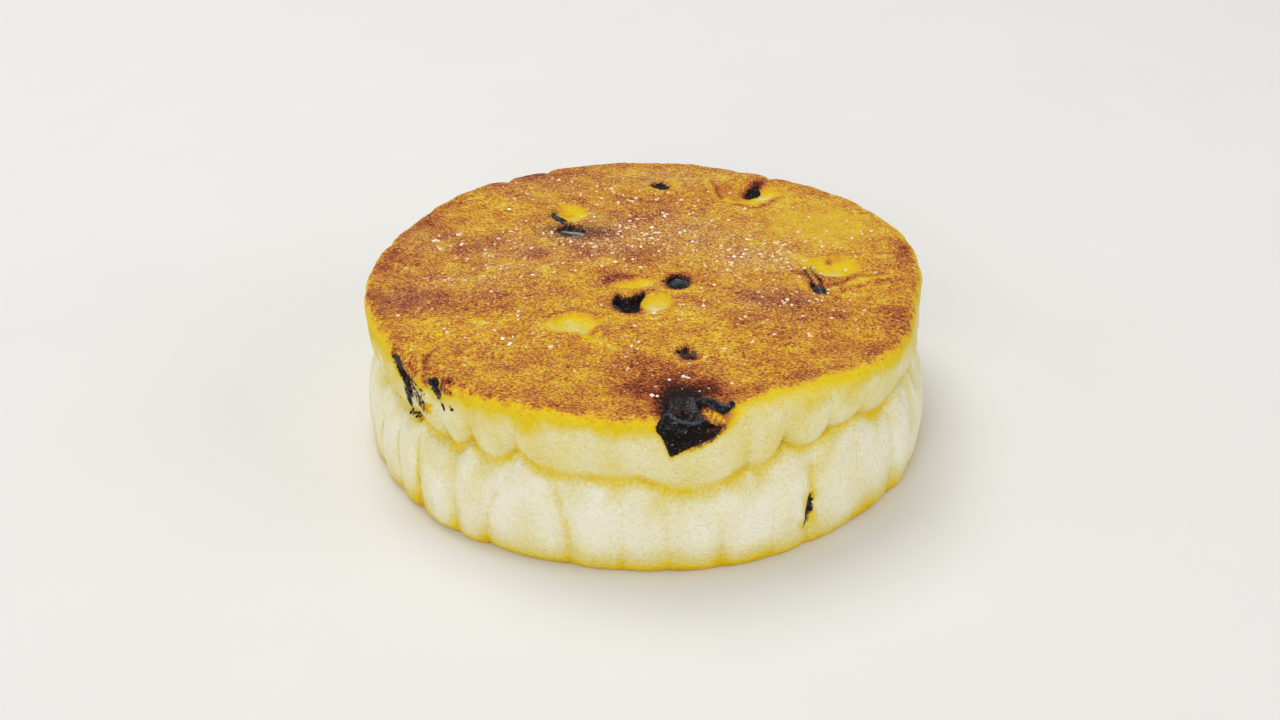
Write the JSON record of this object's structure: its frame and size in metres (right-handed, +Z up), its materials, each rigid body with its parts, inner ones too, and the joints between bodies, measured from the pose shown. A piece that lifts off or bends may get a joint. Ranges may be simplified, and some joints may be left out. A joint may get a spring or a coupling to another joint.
{
  "type": "welsh cake",
  "caption": "Round griddle cake with a fluted, two-tiered side, a flat browned crust, sunken currants and a large raisin over its front rim.",
  "frame": {"origin": "middle of the flat underside, on the surface the cake rests on", "axes": "+Z up through the thickness; the side with the large raisin faces -Y"},
  "size_m": [0.0659, 0.0665, 0.0193],
  "materials": {
    "baked_dough": "matte, browned on the two flat faces and cream at the side",
    "currant_skin": "dull wrinkled skin",
    "raisin_skin": "wrinkled skin with a low sheen on its ridges"
  },
  "bodies": {
    "root": {"cake": "baked_dough", "currant_centre_front": "currant_skin", "currant_centre_back": "currant_skin", "currant_near_raisin": "currant_skin", "currant_back": "currant_skin", "currant_back_hollow": "currant_skin", "currant_left_back": "currant_skin", "currant_under_skin": "currant_skin", "currant_right": "currant_skin", "currant_left_fold": "currant_skin", "currant_left_rim": "currant_skin", "currant_right_slit": "currant_skin", "currant_rear_right": "currant_skin", "currant_rear_left": "currant_skin", "raisin_front_rim": "raisin_skin"}
  },
  "joints": []
}
